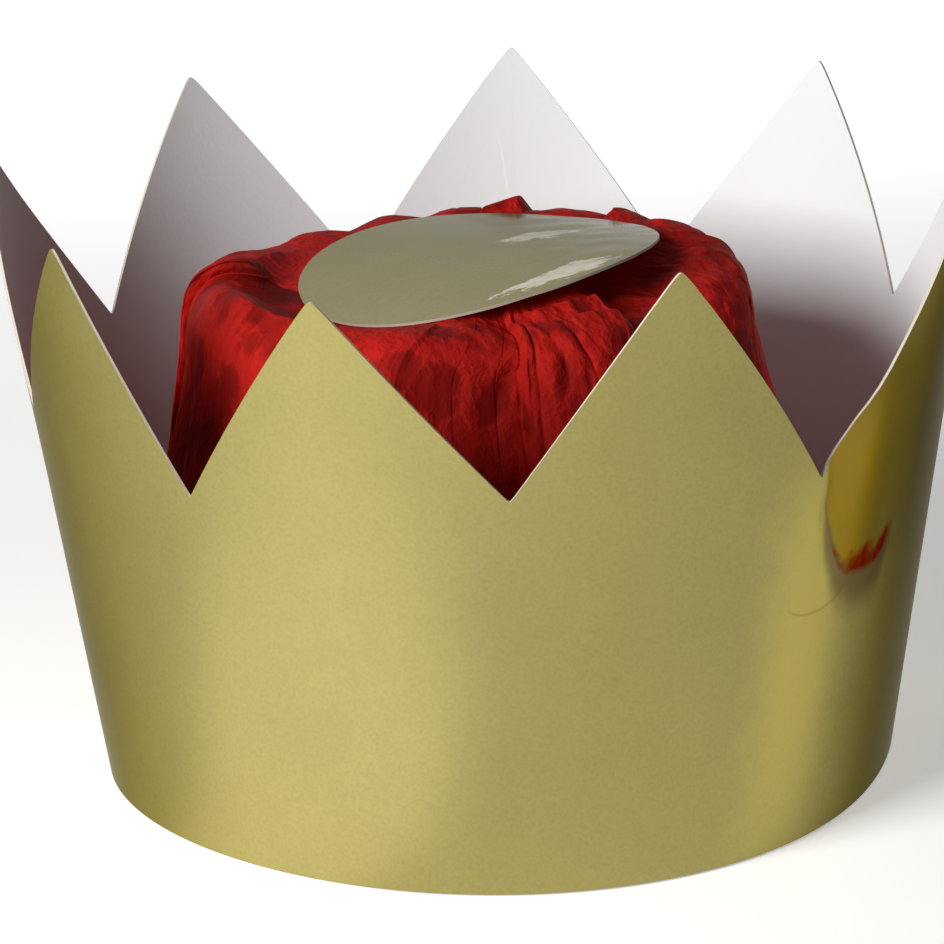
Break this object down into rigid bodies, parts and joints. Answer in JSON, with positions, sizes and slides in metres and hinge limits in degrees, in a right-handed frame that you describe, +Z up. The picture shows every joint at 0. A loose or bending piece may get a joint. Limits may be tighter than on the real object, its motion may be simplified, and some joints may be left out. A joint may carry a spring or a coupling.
{
  "type": "paper crown",
  "caption": "Party crown of gold-faced card: a flared ring cut into points, with a gathered red tissue cap and a curled card disc on top.",
  "frame": {"origin": "middle of the head opening, in the plane of the bottom rim", "axes": "+Z up through the cap to the disc, -Y to the front as the picture shows it, +X to its right"},
  "size_m": [0.2141, 0.2144, 0.1344],
  "materials": {
    "gold_card": "satin gold foil face, white back",
    "red_tissue": "thin crinkled tissue",
    "disc_card": "satin gold foil face"
  },
  "bodies": {
    "root": {"crown_band": "gold_card", "tissue_cap": "red_tissue", "top_disc": "disc_card"}
  },
  "joints": []
}
